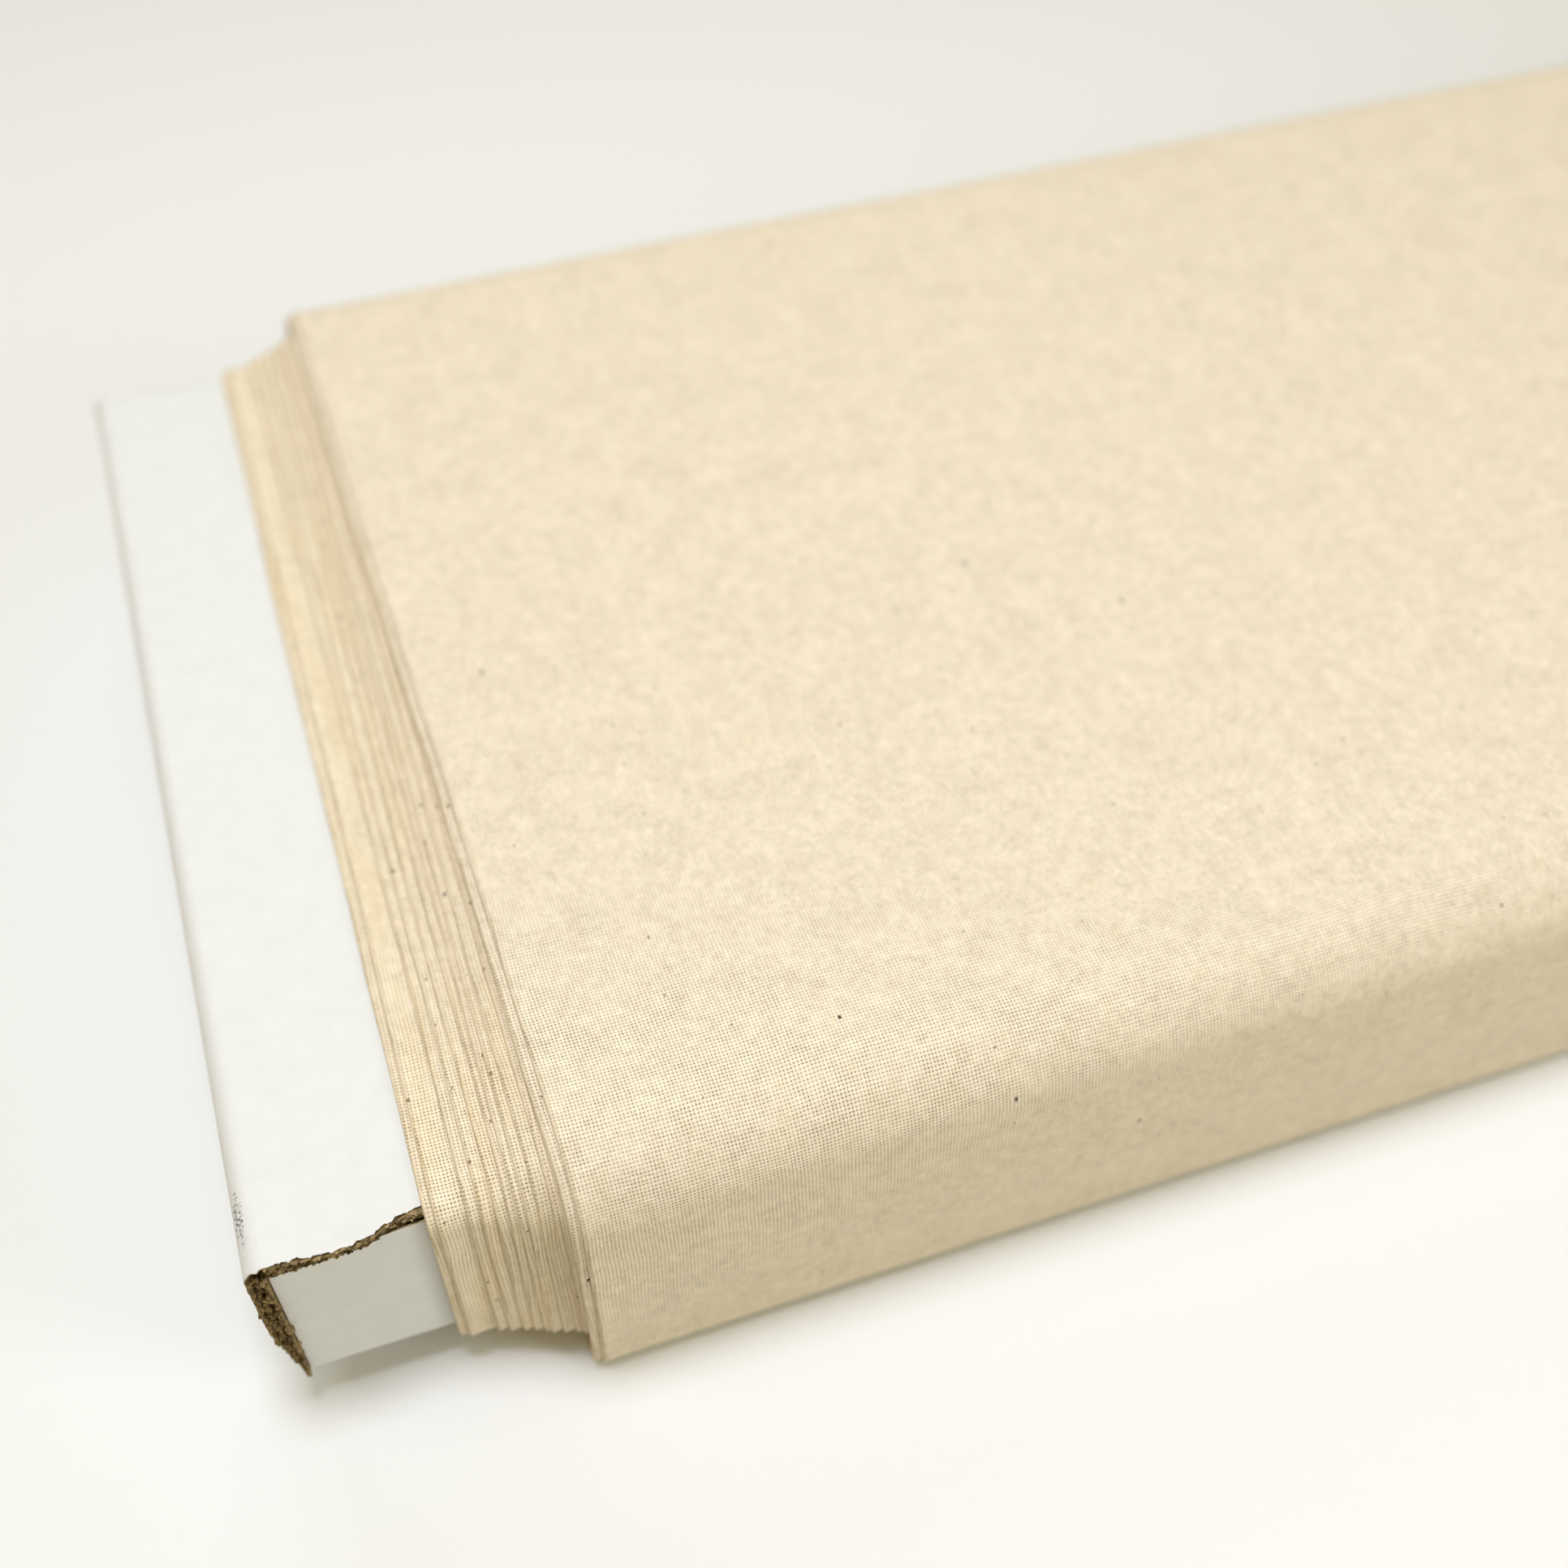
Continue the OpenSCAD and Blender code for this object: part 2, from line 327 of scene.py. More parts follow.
def cotton(name, light, shade, painted_warm_glow):
    """Plain-woven unbleached cotton, with uneven threads, open gaps in painted shade, a line of painted
    shade along each fold and seed flecks. The last argument is how strongly the warm streaks along the
    folds show; they are painted warm shade and bounced light between the layers."""
    g = Graph(name, 0.92, 0.12)
    g.put(0.12, g.shader.inputs["Sheen Weight"])
    plane = g.node("ShaderNodeUVMap", uv_map="weave").outputs[0]
    drift = g.sub(g.noise(plane, 0.05), 0.5)
    jitter = g.sub(g.noise(plane, 0.006), 0.5)
    u, v, _ = g.split(plane)
    sway = g.add(g.mul(drift, 3 * MM), g.mul(jitter, 0.25 * MM))
    a = g.maths("DIVIDE", g.add(u, sway), THREAD)
    b = g.maths("DIVIDE", g.sub(v, sway), THREAD)
    warp, warp_swell = threads(g, b, a, 0)
    weft, weft_swell = threads(g, a, b, 1)
    height = g.maths("MAXIMUM", warp, weft)
    on_top = g.maths("GREATER_THAN", warp, weft)
    own = g.mix(on_top, weft_swell, warp_swell)
    cloud = g.noise(plane, 0.0028, 4)
    fibre = g.noise(plane, 0.0003, 2)
    tone = g.add(g.mul(own, 0.3), g.add(g.mul(cloud, 0.5), g.mul(fibre, 0.2)))
    thread = g.mix(g.scaled(tone, 0.3, 0.7, 0, 1), shade, light)
    # Painted warm shade and bounced light: long streaks along the winding, tinted towards a golden brown.
    warm_glow_streak = g.noise(g.join(g.mul(u, 7.0), v, 0.0), 0.03, 2)
    thread = g.mix(g.scaled(warm_glow_streak, 0.5, 0.66, 0, painted_warm_glow), thread, (0.82, 0.60, 0.26, 1))
    # Painted shade: the weave's low parts and open gaps are darkened to a brown that stands for the shade
    # under the threads, darker still on faces turned upwards.
    hollow = g.scaled(height, 0.14, 0.68, 1, 0)
    openness = g.add(g.mul(g.noise(plane, 0.0011, 2), 0.7), g.mul(g.noise(plane, 0.009, 2), 0.7))
    gap_shade_mask = g.mul(hollow, g.scaled(openness, 0.45, 0.9, 0.5, 1.0))
    upward = g.split(g.node("ShaderNodeNewGeometry").outputs["Normal"])[2]
    painted_gap_shade = g.mix(g.scaled(upward, 0, 1, 0, 1), (0.17, 0.12, 0.055, 1), (0.10, 0.065, 0.03, 1))
    colour = g.mix(gap_shade_mask, thread, painted_gap_shade)
    # Painted shade: a dark brown line along the lower half of each fold's nose and under it, standing for the
    # shade in the groove where the fold lies on the turn below.
    fold = g.scaled(u, -0.45 * MM, 0.9 * MM, 0.7, 0)
    colour = g.mix(fold, colour, (0.40, 0.27, 0.12, 1))
    for cell, radius, share, strength, seed_colour in FLECKS:
        mask = g.mul(seeds(g, plane, cell * MM, radius * MM, share), strength)
        colour = g.mix(mask, colour, seed_colour)
    g.colour(colour)
    g.bump(height, 0.12 * MM, 0.4)
    return g.material


def white_paper(name):
    """The board's matt white face, faintly mottled, with the flutes just showing through."""
    g = Graph(name, 0.62, 0.3)
    place = g.node("ShaderNodeTexCoord").outputs["Object"]
    x, y, z = g.split(place)
    mottle = g.noise(place, 0.004, 4)
    grain = g.noise(place, 0.0004, 3)
    tone = g.add(g.mul(mottle, 0.7), g.mul(grain, 0.3))
    colour = g.mix(g.scaled(tone, 0.3, 0.7, 0, 1), (0.725, 0.725, 0.70, 1), (0.77, 0.77, 0.745, 1))
    # Painted shade: within a few millimetres of the board's left end, over its crease's rounding, the white
    # is mixed towards a greyish pink, standing for the shade on that curve.
    by_crease = g.scaled(g.add(x, HALF_L), 0.6 * MM, 2.6 * MM, 1, 0)
    crease_shade = g.mul(by_crease, g.scaled(mottle, 0.3, 0.6, 0.15, 0.5))
    colour = g.mix(crease_shade, colour, (0.66, 0.60, 0.57, 1))
    colour = g.mix(smudge(g, x, y, z, place), colour, (0.13, 0.13, 0.14, 1))
    g.colour(colour)
    ghost = g.maths("SINE", g.mul(x, 2 * math.pi / FLUTE_PITCH))
    g.bump(g.add(g.mul(ghost, 0.12), g.add(g.mul(mottle, 0.8), g.mul(grain, 0.2))), 0.06 * MM)
    return g.material


def smudge(g, x, y, z, place):
    """A rubbed grey mark along the left crease, near the front."""
    along = g.maths("DIVIDE", g.add(y, HALF_W - 9 * MM), 5.5 * MM)
    across = g.maths("DIVIDE", g.add(x, HALF_L - 1.0 * MM), 1.0 * MM)
    far = g.add(g.mul(along, along), g.mul(across, across))
    near = g.scaled(far, 0.0, 1.0, 0.16, 0)
    patchy = g.scaled(g.add(g.noise(place, 0.00042, 3), near), 0.6, 0.74, 0, 1)
    on_top = g.maths("GREATER_THAN", z, MID_Z + HALF_T - 1.8 * MM)
    return g.mul(g.mul(patchy, g.maths("LESS_THAN", far, 1.2)), g.mul(on_top, 0.9))


def kraft(name, dark, pale):
    """Raw brown board paper, fibrous and torn."""
    g = Graph(name, 0.95, 0.1)
    place = g.node("ShaderNodeTexCoord").outputs["Object"]
    lumps = g.noise(place, 0.0011, 4)
    fibres = g.noise(place, 0.00025, 3)
    tone = g.add(g.mul(lumps, 0.65), g.mul(fibres, 0.35))
    g.colour(g.mix(g.scaled(tone, 0.36, 0.66, 0, 1), dark, pale))
    g.bump(tone, 0.25 * MM)
    return g.material


def matt_floor():
    """A pale matt sheet, with a glow of its own far from the bolt, where the lamps do not reach."""
    g = Graph("pale_floor", 0.7, 0.2)
    place = g.node("ShaderNodeTexCoord").outputs["Object"]
    soft = g.noise(place, 0.5, 1)
    g.colour(g.mix(soft, (0.825, 0.825, 0.81, 1), (0.84, 0.84, 0.83, 1)))
    away = g.node("ShaderNodeVectorMath", (0, place), operation="LENGTH").outputs["Value"]
    g.put((0.84, 0.84, 0.83, 1), g.shader.inputs["Emission Color"])
    g.put(g.scaled(away, 0.5, 2.5, 0, 0.72), g.shader.inputs["Emission Strength"])
    return g.material


COTTON = cotton("cotton_outer", (0.96, 0.85, 0.67, 1), (0.76, 0.655, 0.48, 1), 0.03)
# The inner turns are the same cloth as the outer ones; this copy is painted a little lighter, standing for
# the light on the tight stack, and carries more of the painted warm glow.
COTTON_IN = cotton("cotton_inner", (0.985, 0.865, 0.66, 1), (0.82, 0.70, 0.50, 1), 0.2)
WHITE = white_paper("white_paper")
KRAFT = kraft("kraft_paper", (0.09, 0.06, 0.025, 1), (0.46, 0.34, 0.17, 1))
TORN = kraft("torn_kraft", (0.04, 0.025, 0.01, 1), (0.40, 0.29, 0.13, 1))


# ---------------------------------------------------------------- cloth

def doubled(left, right, middle=()):
    """The doubled cloth's section across the bolt: a fold at the left, two selvedges at the right."""
    half = CLOTH_T / 2
    inner_edge = right - 0.7 * MM
    slit = right - 6 * MM
    near = [0.45, 0.8, 1.2, 1.8, 3, 6, 12, 24]
    near = [left + n * MM for n in near]
    end = [right - n * MM for n in (20, 6, 2, 0.5)]
    stations = near + [x for x in middle if near[-1] + 0.002 < x < end[0] - 0.002] + end
    swell = [FOLD_SWELL * math.exp(-((x - left) / FOLD_REACH) ** 2) for x in stations]
    outer = [(x, half + s, x - left) for x, s in zip(stations, swell)]
    outer += [(right - 0.08 * MM, half * 0.95, right - left), (right, half * 0.5, right - left + half / 2)]
    outer += [(right - 0.08 * MM, half * 0.06, right - left), (slit, 0.00001, slit - left)]
    inner = [(slit + 0.2 * MM, -0.00001, left - slit)]
    inner += [(inner_edge - 0.08 * MM, -half * 0.06, left - inner_edge)]
    inner += [(inner_edge, -half * 0.5, left - inner_edge)]
    inner += [(inner_edge - 0.08 * MM, -half * 0.95, left - inner_edge)]
    inner += [(x, -half, left - x) for x in reversed(stations) if x < inner_edge - 0.2 * MM]
    nose = []
    for k in range(1, 6):
        turn = math.radians(-90 - 180 * k / 6)
        reach = half + (swell[0] if math.sin(turn) > 0 else 0)
        nose.append((left + NOSE * (1 + math.cos(turn)), reach * math.sin(turn),
                     -NOSE * math.cos(math.pi * k / 6)))
    return outer + inner + nose


def cloth_place(left, right, edge, selvedge, lean=0.0, slack=None, sag=0.0):
    """How a turn lies: its fold and its selvedges wander, it may lean, stand slack and hang lower
    along its lower front fold."""

    def place(across, height, path):
        points, normals, lengths = path
        y, z = points[:, :1], points[:, 1:]
        pull = np.exp(-(across - left) / 0.02)
        push = np.exp(-(right - across) / 0.02)
        x = across + pull * edge(lengths)[:, None] + push * selvedge(lengths)[:, None]
        x = x - lean * y / HALF_W * np.ones_like(across)
        out = height + (slack(x, y, z) if slack else 0.0)
        wide = np.ones_like(across)
        drop = sag * smooth(-z / HALF_T) * (1 - smooth((y + HALF_W) / (25 * MM)))
        placed_y = y * wide + normals[:, :1] * out
        placed_z = MID_Z - drop + z * wide + normals[:, 1:] * out
        return np.stack([x, placed_y, placed_z], -1)

    return place


def grow_of(node):
    """How far the middle of a turn's doubled cloth stands from the board."""
    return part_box(node)[1].z - BOARD_HI.z - CLOTH_T / 2


def wound_turn(number):
    """One of the tight turns. Those whose edges are out of sight draw back towards the front."""
    node = f"cloth_turn_{number:02d}"
    lo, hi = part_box(node)
    left, right = lo.x, hi.x
    grow = grow_of(node)
    buried = number - INNER_TURNS
    lean = 0.0
    if buried > 0:
        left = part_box(f"cloth_turn_{INNER_TURNS:02d}")[0].x + (0.5 + 0.95 * buried) * MM
        lean = (0.3 + 0.25 * buried) * MM
    fold = ripple(100 + number, 6, 30 * MM, 260 * MM)
    loose = ripple(200 + number, 5, 30 * MM, 300 * MM)
    path = join(winding(grow, CREASE_R + grow, 0, 0))
    place = cloth_place(left, right, lambda s: 0.3 * MM * fold(s), lambda s: 0.9 * MM * loose(s), lean,
                        sag=(3.0 - 0.22 * number) * MM)
    piece = sweep(f"wound_turn_{number:02d}", path, doubled(left, right), [COTTON_IN], place, closed=True,
                  start=0.53 * number)
    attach(piece, "wound_cloth")
    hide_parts(node)


def slack_field():
    """How far the loose turns stand off the tight ones, at a point in X and in Y and Z from the middle."""
    long_x, long_y = ripple(31, 4, 0.07, 0.4), ripple(32, 3, 0.06, 0.3)
    top, front = HALF_T, -HALF_W

    def slack(x, y, z):
        on_front = smooth((front + 2 * MM - y) / (4 * MM))
        belly = np.sin(np.pi * np.clip((z + top) / (2 * top), 0, 1)) ** 1.5
        under = smooth((-top - 2 * MM - z) / (4 * MM))
        wave = 0.5 + 0.5 * long_x(x + 0.4 * y)
        flat = 0.35 * MM * (0.5 + 0.5 * long_x(x) * long_y(y + 0.3 * x) * 2)
        return (1 - under) * ((1 - on_front) * flat + on_front * (0.3 + 0.9 * wave) * belly * MM)

    return slack


def loose_turns():
    """The last two turns, as one spiral of slack cloth, cut into pieces where its folds bend."""
    inner, outer = grow_of("cloth_turn_14"), grow_of("cloth_turn_15")
    lo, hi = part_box("cloth_turn_15")
    left, right = lo.x, hi.x
    tail_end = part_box("cloth_tail")[1].y
    fold_r = 2.5 * MM + CLOTH_T / 2
    ramp_start, ramp_end = tail_end + 1 * MM, tail_end + 15 * MM
    low_in, low_out = fold_r, fold_r + outer - inner
    first = winding(inner, low_in, ramp_start + 2 * MM, ramp_start, 3 * MM, 12)
    t = np.linspace(0, 1, 7)[:, None]
    drop = -HALF_T - inner + (inner - outer) * smooth(t)
    ramp = (np.concatenate([ramp_start + (ramp_end - ramp_start) * t, drop], 1), np.full(7, -90.0))
    second = winding(outer, low_out, ramp_end, tail_end, 3 * MM, 14)
    path = join(first + [ramp] + second)
    points = path[0]
    start_2 = sum(len(p) - 1 for p, _ in first) + 6
    last = len(points) - 1
    near_front = (points[:, 1] > HALF_T) & (points[:, 0] < -HALF_W + 12 * MM)
    top_cut = next(k for k in range(start_2, last) if near_front[k])
    front_cut = next(k for k in range(top_cut, last) if points[k, 0] < -HALF_W and points[k, 1] < -4 * MM)
    middle = np.linspace(left, right, 48)
    profile = doubled(left, right, middle)
    fold, loose = ripple(61, 6, 25 * MM, 300 * MM), ripple(62, 5, 30 * MM, 300 * MM)
    step = 1.5 * MM
    total = path[2][-1]

    def edge(s):
        back = 1 - smooth((s - total * 0.44) / (total * 0.12))
        return 0.3 * MM * fold(s) - step * back

    place = cloth_place(left, right, edge, lambda s: 0.8 * MM * loose(s), 1.7 * MM, slack_field())
    spans = {"main": (0, top_cut), "front": (top_cut, front_cut), "tail": (front_cut, last)}
    pieces = {}
    for part, (a, b) in spans.items():
        pieces[part] = sweep(f"loose_cloth_{part}", part_of(path, a, b), profile, [COTTON], place)
    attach(pieces["main"], "loose_turns")
    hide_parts("cloth_turn_14", "cloth_turn_15")
    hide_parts("cloth_front_drop")
    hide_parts("cloth_tail")
    w, t, low = HALF_W + outer, HALF_T + outer, low_out
    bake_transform(pieces["front"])
    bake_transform(pieces["tail"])


# ---------------------------------------------------------------- board

def under_cloth(x, reach):
    """0 on the bare ends of the board and 1 under the cloth, with a step of reach outside the cloth."""
    cloth_lo, cloth_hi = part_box("cloth_turn_01")
    return smooth((x - cloth_lo.x + reach) / reach) * smooth((cloth_hi.x + reach - x) / reach)


def crush(x, y):
    """How far the top panel is pressed down beside its raw front edge: in a dent at the bare left
    end, and to a round corner where the cloth goes over it."""
    dent = np.exp(-((x + HALF_L - 15 * MM) / (7 * MM)) ** 2) * 1.3 * MM
    covered = under_cloth(x, 4 * MM)
    inwards = np.clip(PRESSED_R - (y + HALF_W), 0, PRESSED_R)
    corner = PRESSED_R - np.sqrt(PRESSED_R ** 2 - inwards ** 2)
    return covered * corner + (1 - covered) * dent * (1 - smooth((y + HALF_W) / (6 * MM)))


def pressed_back(x):
    """How far the raw front edge of the top panel stands back from the board's front."""
    return PRESSED_BACK * under_cloth(x, 13 * MM)


def tear(seed):
    """How far a raw edge is worn back at each point along it."""
    coarse, fine = ripple(seed, 5, 3 * MM, 20 * MM), ripple(seed + 1, 6, 0.5 * MM, 3 * MM)
    return lambda s: (0.25 + 0.3 * coarse(s) + 0.35 * fine(s)) * MM


def spread(start, end, step, dense=(), dense_step=1.0):
    """Stations from start to end, closer together inside the dense ranges."""
    stations = [start]
    while stations[-1] < end - 1e-6:
        here = stations[-1]
        close = any(a - 1e-6 <= here < b for a, b in dense)
        stations.append(min(here + (dense_step if close else step), end))
    return np.array(stations)


def slab(stations, thickness, start=0.0):
    """A flat sheet's closed profile: its outer face forwards and its inner face back."""
    outer = [(x, 0.0, x - start) for x in stations]
    return outer + [(x, -thickness, start - x) for x in reversed(stations)]


def slab_slots(stations, edge):
    """White on a sheet's outer face, kraft on its inner one, and the slot called edge on its sides."""
    count = len(stations)
    return [0] * (count - 1) + [edge] + [1] * (count - 1) + [edge]


def board_face():
    """The white face of the folded board, from the raw edge of its top panel round to the flange."""
    r, w, t = CREASE_R, HALF_W, HALF_T
    sharp_r = 1.2 * MM
    front = -w + FLANGE_BACK
    flange_top = t - SHEET_T - 0.1 * MM
    path = join([
        line((-w, t), (-w + 8 * MM, t), 90, 0.4 * MM),
        line((-w + 8 * MM, t), (w - r, t), 90, 8 * MM),
        arc((w - r, t - r), r, 90, 0, 8),
        line((w, t - r), (w, r - t), 0, 8 * MM),
        arc((w - r, r - t), r, 0, -90, 8),
        line((w - r, -t), (front + sharp_r, -t), -90, 8 * MM),
        arc((front + sharp_r, sharp_r - t), sharp_r, -90, -180, 8),
        line((front, sharp_r - t), (front, flange_top - 3 * MM), -180, 3 * MM),
        line((front, flange_top - 3 * MM), (front, flange_top), -180, 1 * MM),
    ])
    end = HALF_L - CREASE_R
    bare = [(-end, -end + 30 * MM), (end - 26 * MM, end)]
    stations = spread(-end, end, 8 * MM, bare, 0.3 * MM)
    worn = tear(11)

    def place(across, height, path):
        points, normals, lengths = path
        y, z = points[:, :1], points[:, 1:]
        on_top = smooth((z - t + 0.5 * MM) / (0.4 * MM)) * smooth((t - r - y) / (1 * MM))
        beside = (1 - smooth((y + w) / (7 * MM))) * on_top
        frayed = 0.35 * MM * smooth((across + HALF_L - 17 * MM) / (4 * MM)) * (across < 0)
        y2 = y + normals[:, :1] * height + beside * (worn(across) + frayed + pressed_back(across))
        tucked = smooth((z - flange_top + 3 * MM) / (3 * MM)) * smooth((front + 0.5 * MM - y) / (0.4 * MM))
        tucked = tucked * (z < t - 1 * MM)
        rise = 1.2 * MM * under_cloth(across, 13 * MM)
        z2 = z + normals[:, 1:] * height - on_top * crush(across, y2) + tucked * rise
        x2 = across + 0 * y2
        return np.stack([x2, y2, MID_Z + z2], -1)

    piece = sweep("board_face", path, slab(stations, LINER_T), [WHITE, KRAFT], place,
                  slab_slots(stations, 0), caps=(1, 1))
    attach(piece, "board")
    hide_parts("board_outer_liner")


def board_lining():
    """The kraft face inside the folded board, which follows its pressed raw edge."""
    w, t, depth = HALF_W, HALF_T, SHEET_T - LINER_T
    r = CREASE_R - depth
    front, low_r = -w + FLANGE_BACK, 0.3 * MM
    path = join([
        line((-w, t - depth), (-w + 8 * MM, t - depth), 90, 0.5 * MM),
        line((-w + 8 * MM, t - depth), (w - CREASE_R, t - depth), 90, 20 * MM),
        arc((w - CREASE_R, t - CREASE_R), r, 90, 0, 4),
        line((w - depth, t - CREASE_R), (w - depth, CREASE_R - t), 0, 20 * MM),
        arc((w - CREASE_R, CREASE_R - t), r, 0, -90, 4),
        line((w - CREASE_R, depth - t), (front + depth + low_r, depth - t), -90, 20 * MM),
        arc((front + depth + low_r, depth + low_r - t), low_r, -90, -180, 4),
        line((front + depth, depth + low_r - t), (front + depth, t - SHEET_T - 0.2 * MM), -180, 8 * MM),
    ])
    bare = [(-PANEL_X, -PANEL_X + 30 * MM), (PANEL_X - 30 * MM, PANEL_X)]
    stations = spread(-PANEL_X, PANEL_X, 20 * MM, bare, 0.5 * MM)
    worn = tear(13)

    def place(across, height, path):
        points, normals, lengths = path
        y, z = points[:, :1], points[:, 1:]
        beside = (1 - smooth((y + w) / (7 * MM))) * (z > t - depth - 0.1 * MM)
        y2 = y + normals[:, :1] * height + beside * (worn(across) + pressed_back(across))
        return np.stack([across + 0 * y2, y2, MID_Z + z + normals[:, 1:] * height], -1)

    piece = sweep("board_lining", path, slab(stations, LINER_T), [KRAFT], place)
    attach(piece, "board")
    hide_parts("board_inner_liner")


def flap_inset(z):
    """How far a flap's outer side is crushed inwards, at a height from the board's middle."""
    return 2.3 * MM * smooth((2 * MM - z) / (HALF_T + 2 * MM)) ** 1.2


def end_face(side):
    """The white face that goes over an end's crease and down its flap. side is -1 left, 1 right."""
    name = "left" if side < 0 else "right"
    r, t = CREASE_R, HALF_T
    path = join([
        arc((r - HALF_L, t - r), r, 90, 180, 10),
        line((-HALF_L, t - r), (-HALF_L, -t), 180, 1.2 * MM),
    ])
    ends = [(-HALF_W, -HALF_W + 9 * MM), (HALF_W - 9 * MM, HALF_W)]
    stations = spread(-HALF_W, HALF_W - 0.3 * MM, 6 * MM, ends, 0.5 * MM)
    worn, worn_back = tear(21), tear(23)

    def place(across, height, path):
        points, normals, lengths = path
        x, z = points[:, :1], points[:, 1:]
        near = np.exp(-(across + HALF_W) / (1.5 * MM))
        far = np.exp(-(HALF_W - across) / (1.5 * MM))
        y2 = across + near * worn(lengths)[:, None] - far * worn_back(lengths)[:, None]
        x2 = x + normals[:, :1] * height + flap_inset(z) * (z < t - r)
        z2 = z + normals[:, 1:] * height + 0 * across
        return np.stack([side * -x2, y2, MID_Z + z2], -1)

    piece = sweep(f"{name}_end_face", path, slab(stations, LINER_T), [WHITE, KRAFT], place,
                  slab_slots(stations, 1), caps=(0, 1))
    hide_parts(f"{name}_flap_outer_liner")
    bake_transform(piece)


def flute_profile(length, rise, thickness, pitch=FLUTE_PITCH):
    """A wavy paper's section: its upper side forwards and its underside back."""
    count = max(8, round(length / pitch * 12))
    along = np.linspace(0, length, count + 1)
    wave = rise(along) * np.sin(2 * math.pi * along / pitch)
    upper = [(a, w + thickness / 2, a) for a, w in zip(along, wave)]
    return upper + [(a, w - thickness / 2, a) for a, w in zip(reversed(along), reversed(wave))]


def flute_room(x, y):
    """How much room the top panel's flutes keep above and below their middle."""
    full = SHEET_T / 2 - LINER_T - 0.18 * MM
    return np.clip(full - crush(x, y) / 2, 0.1 * MM, full)


def top_core():
    """The top panel's fluted paper, pressed flat where the panel is crushed, with a worn front edge."""
    y0, y1 = -HALF_W, HALF_W - CREASE_R
    path = join([line((y0, 0), (y0 + 8 * MM, 0), 90, 0.8 * MM), line((y0 + 8 * MM, 0), (y1, 0), 90, 20 * MM)])
    worn = tear(41)
    length = 2 * PANEL_X
    profile = flute_profile(length, lambda a: np.ones_like(a), 0.25)

    def place(across, height, path):
        y = path[0][:, :1]
        x = across - PANEL_X
        y = y + (1 - smooth((y - y0) / (7 * MM))) * (worn(x) * 1.3 + pressed_back(x))
        room = flute_room(x, y)
        flat = np.sign(height) * 0.125
        body = height - flat
        z = HALF_T - SHEET_T / 2 - crush(x, y) / 2 + room * body + flat * MM
        return np.stack([x + 0 * y, y, MID_Z + z], -1)

    piece = sweep("top_panel_flutes", path, profile, [KRAFT], place)
    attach(piece, "board")
    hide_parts("top_fluting")


def flap_core(side):
    """An end flap's fluted paper, thinner towards its crushed free edge."""
    name = "left" if side < 0 else "right"
    low, high = -HALF_T, HALF_T - CREASE_R - 0.2 * MM
    path = join([line((-HALF_W + 0.4 * MM, 0), (-HALF_W + 8 * MM, 0), 90, 0.8 * MM),
                 line((-HALF_W + 8 * MM, 0), (HALF_W - 8 * MM, 0), 90, 20 * MM),
                 line((HALF_W - 8 * MM, 0), (HALF_W - 0.4 * MM, 0), 90, 0.8 * MM)])
    profile = flute_profile(high - low, lambda a: np.ones_like(a), 0.25, FLUTE_PITCH * 0.8)
    worn = tear(51)

    def place(across, height, path):
        y = path[0][:, :1]
        z = low + across
        inset = flap_inset(z)
        room = np.clip(SHEET_T / 2 - LINER_T - 0.18 * MM - inset / 2, 0.02 * MM, 1)
        flat = np.sign(height) * 0.125
        x = HALF_L - SHEET_T / 2 - inset / 2 + room * (height - flat) + flat * MM
        fringe = np.exp(-(y + HALF_W) / (1.5 * MM)) - np.exp(-(HALF_W - y) / (1.5 * MM))
        return np.stack([side * x + 0 * y, y + fringe * worn(across), MID_Z + z + 0 * y], -1)

    piece = sweep(f"{name}_flap_flutes", path, profile, [KRAFT], place)
    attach(piece, f"{name}_flap")
    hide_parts(f"{name}_flap_fluting")


def torn_strip(name, body, length, front, seed, reach, thick, taper=0.0):
    """A ragged, crumpled strip of brown paper along a raw edge. front(s, out, up) gives the point at
    a length along the edge, out from it and up across the sheet. taper is the length over which it
    dwindles at its start."""
    ragged, sharp = ripple(seed, 6, 1.2 * MM, 9 * MM), ripple(seed + 1, 7, 0.35 * MM, 2 * MM)
    crumple = ripple(seed + 2, 5, 1 * MM, 8 * MM)
    path = join([line((0, 0), (length, 0), 90, 0.22 * MM)])
    back = -2.5 * MM
    half = thick / 2
    section = [(back, -half), (-0.8 * MM, -half), (-0.2 * MM, -half * 0.9), (0.0, -half * 0.5),
               (0.0, half * 0.5), (-0.2 * MM, half * 0.9), (-0.8 * MM, half), (back, half)]
    profile = [(out, up, out) for out, up in section]

    def place(across, height, path):
        s = path[0][:, :1]
        size = np.clip(s / taper, 0.12, 1) if taper else 1.0
        near = smooth((across - back) / -back) * size
        out = across + near * reach * (0.4 + 0.6 * ragged(s) + 0.8 * sharp(s + 0.3 * height))
        up = height * size + near * thick * (1.1 * crumple(s) + 1.0 * sharp(s + 0.01))
        return front(s, out, up)

    piece = sweep(name, path, profile, [TORN if seed % 2 else KRAFT], place)
    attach(piece, body)


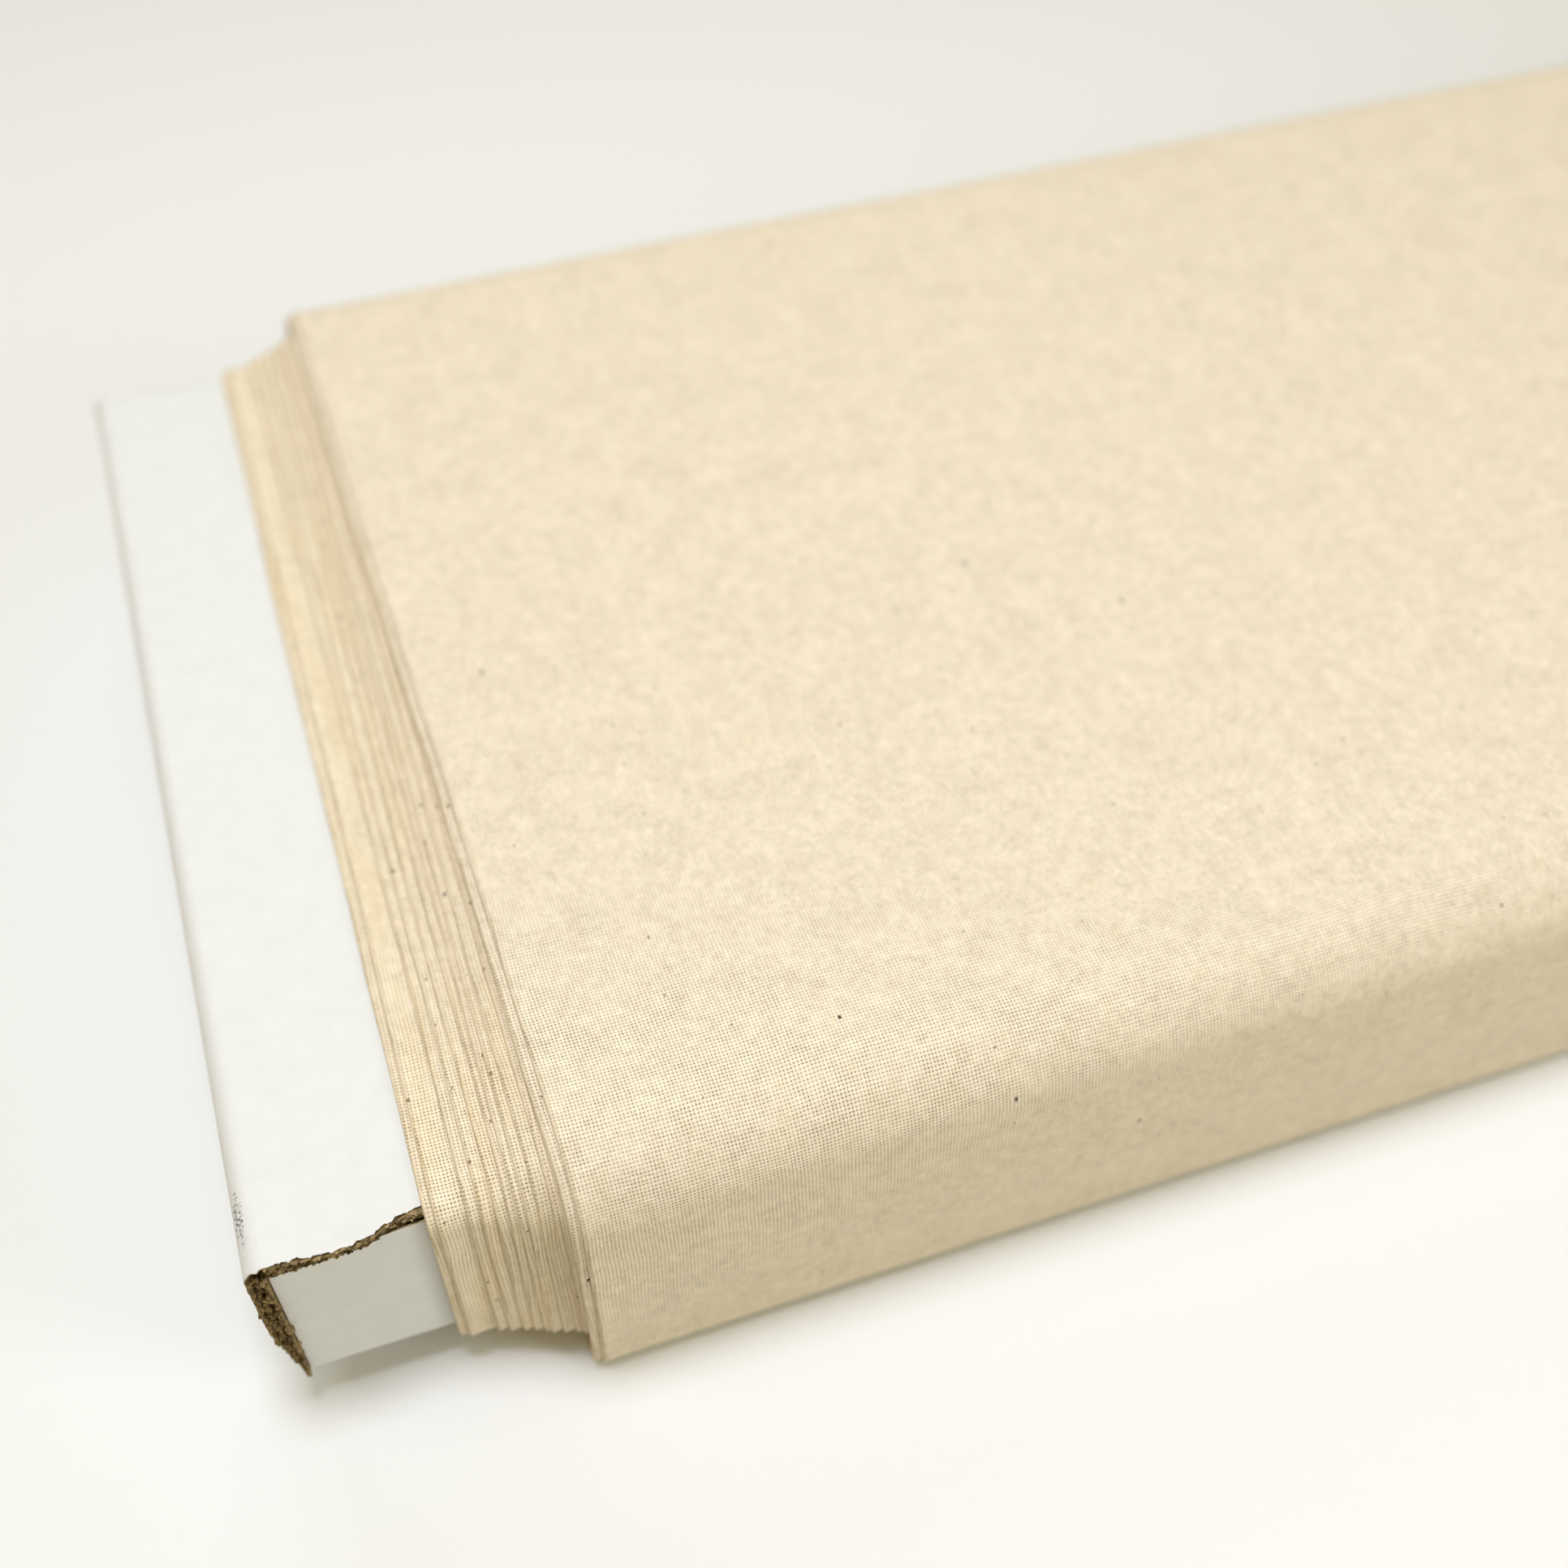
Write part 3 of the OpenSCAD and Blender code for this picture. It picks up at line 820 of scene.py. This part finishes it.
def torn_edges():
    """The brown strips that show where the sheet was cut: under the top panel's front edge at the
    bare end, and along both side edges of each flap."""
    r, t = CREASE_R, HALF_T

    def top_edge(depth):
        def front(s, out, up):
            x = -HALF_L + r + s
            edge = -HALF_W + pressed_back(x)
            y = edge - out + 0.2 * MM
            sunk = crush(x, edge)
            thin = (1 - sunk / SHEET_T) * (1 - 0.45 * under_cloth(x, 13 * MM))
            z = MID_Z + t - sunk - depth * thin + up * thin
            return np.stack([x + 0 * y, y, z + 0 * y], -1)
        return front

    def flap_edge(side, end, depth):
        def front(s, out, up):
            z = -t + s
            inset = flap_inset(z)
            x = HALF_L - inset - depth * (1 - inset / SHEET_T) + up * (1 - 0.3 * inset / SHEET_T)
            y = end * (HALF_W + out - 0.35 * MM)
            return np.stack([side * x + 0 * y, y, MID_Z + z + 0 * y], -1)
        return front

    for k, depth in enumerate((0.35, 0.9, 1.7, 2.5)):
        torn_strip(f"top_edge_ply_{k + 1}", "board", 26 * MM, top_edge(depth * MM), 300 + 7 * k,
                   0.75 * MM, (0.28, 0.5, 0.55, 0.35)[k] * MM)
    for side, side_name in ((-1, "left"), (1, "right")):
        for end, end_name in ((-1, "front"), (1, "rear")):
            for k, depth in enumerate((0.45, 1.4, 2.6)):
                torn_strip(f"{side_name}_flap_{end_name}_ply_{k + 1}", f"{side_name}_flap",
                           2 * t - r, flap_edge(side, end, depth * MM), 400 + 31 * k + 5 * end + side,
                           0.8 * MM, (0.45, 0.6, 0.6)[k] * MM, taper=8 * MM)


def cad_papers():
    """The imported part's own kraft plies stay, with a kraft finish."""
    nodes = ["bottom_fluting", "back_fluting", "flange_fluting",
             "left_flap_inner_liner", "right_flap_inner_liner"]
    for node in nodes:
        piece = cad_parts[node]
        for slot in piece.material_slots:
            slot.material = KRAFT
        if not piece.material_slots:
            piece.data.materials.append(KRAFT)


# ---------------------------------------------------------------- stage

def floor():
    size = 4.0
    mesh = bpy.data.meshes.new("floor")
    corners = [(-size, -size, 0), (size, -size, 0), (size, size, 0), (-size, size, 0)]
    mesh.from_pydata(corners, [], [(0, 1, 2, 3)])
    mesh.materials.append(matt_floor())
    ground = bpy.data.objects.new("floor", mesh)
    ground.location.z = -0.2 * MM
    bpy.context.scene.collection.objects.link(ground)


def area_light(name, place, size, power, colour, target=(-0.1, 0, 0)):
    data = bpy.data.lights.new(name, "AREA")
    data.shape = "DISK"
    data.size = size
    data.energy = power
    data.color = colour
    lamp = bpy.data.objects.new(name, data)
    lamp.location = place
    lamp.rotation_mode = "QUATERNION"
    lamp.rotation_quaternion = (Vector(target) - Vector(place)).to_track_quat("-Z", "Y")
    bpy.context.scene.collection.objects.link(lamp)


def studio():
    world = bpy.data.worlds.new("studio")
    world.use_nodes = True
    tree = world.node_tree
    sky = tree.nodes["Background"]
    sky.inputs["Color"].default_value = (1.0, 0.85, 0.38, 1)
    sky.inputs["Strength"].default_value = 0.32
    backdrop = tree.nodes.new("ShaderNodeBackground")
    backdrop.inputs["Color"].default_value = (0.84, 0.835, 0.81, 1)
    seen = tree.nodes.new("ShaderNodeLightPath")
    either = tree.nodes.new("ShaderNodeMixShader")
    tree.links.new(seen.outputs["Is Camera Ray"], either.inputs[0])
    tree.links.new(sky.outputs[0], either.inputs[1])
    tree.links.new(backdrop.outputs[0], either.inputs[2])
    tree.links.new(either.outputs[0], tree.nodes["World Output"].inputs["Surface"])
    bpy.context.scene.world = world
    area_light("key", (-0.27, -0.08, 0.95), 0.26, 5.9, (0.84, 0.88, 1.0))
    area_light("back_fill", (-0.2, 1.1, 1.2), 0.8, 3.3, (0.83, 0.88, 1.0))
    area_light("right_fill", (0.42, -0.6, 0.5), 0.4, 2.3, (0.95, 0.97, 1.0))
    area_light("left_fill", (-0.75, 0.0, 1.1), 0.6, 2.4, (0.9, 0.94, 1.0))
    bpy.context.scene.view_settings.view_transform = "Standard"


def camera():
    """The photograph's viewpoint: 50.5 degrees down and 19.3 degrees round from the front."""
    data = bpy.data.cameras.new("camera")
    data.sensor_width = 36
    data.lens = 42.91
    cam = bpy.data.objects.new("camera", data)
    bpy.context.scene.collection.objects.link(cam)
    round_z, down, roll = math.radians(19.278), math.radians(50.521), math.radians(0.405)
    level = math.cos(down)
    forward = Vector((math.sin(round_z) * level, math.cos(round_z) * level, -math.sin(down)))
    cam.location = (-0.2707, -0.2329, 0.2938)
    cam.rotation_mode = "QUATERNION"
    turn = forward.to_track_quat("-Z", "Y")
    cam.rotation_quaternion = turn @ Quaternion((0, 0, 1), roll)
    focus = bpy.data.objects.new("focus", None)
    focus.location = (-0.245, -0.095, 0.057)
    bpy.context.scene.collection.objects.link(focus)
    data.dof.use_dof = True
    data.dof.focus_object = focus
    data.dof.aperture_fstop = 6.3
    data.clip_start = 0.01
    bpy.context.scene.camera = cam


for turn in range(1, INNER_TURNS + BURIED_TURNS + 1):
    wound_turn(turn)
loose_turns()
board_face()
board_lining()
top_core()
for end in (-1, 1):
    end_face(end)
    flap_core(end)
torn_edges()
cad_papers()
floor()
studio()
camera()
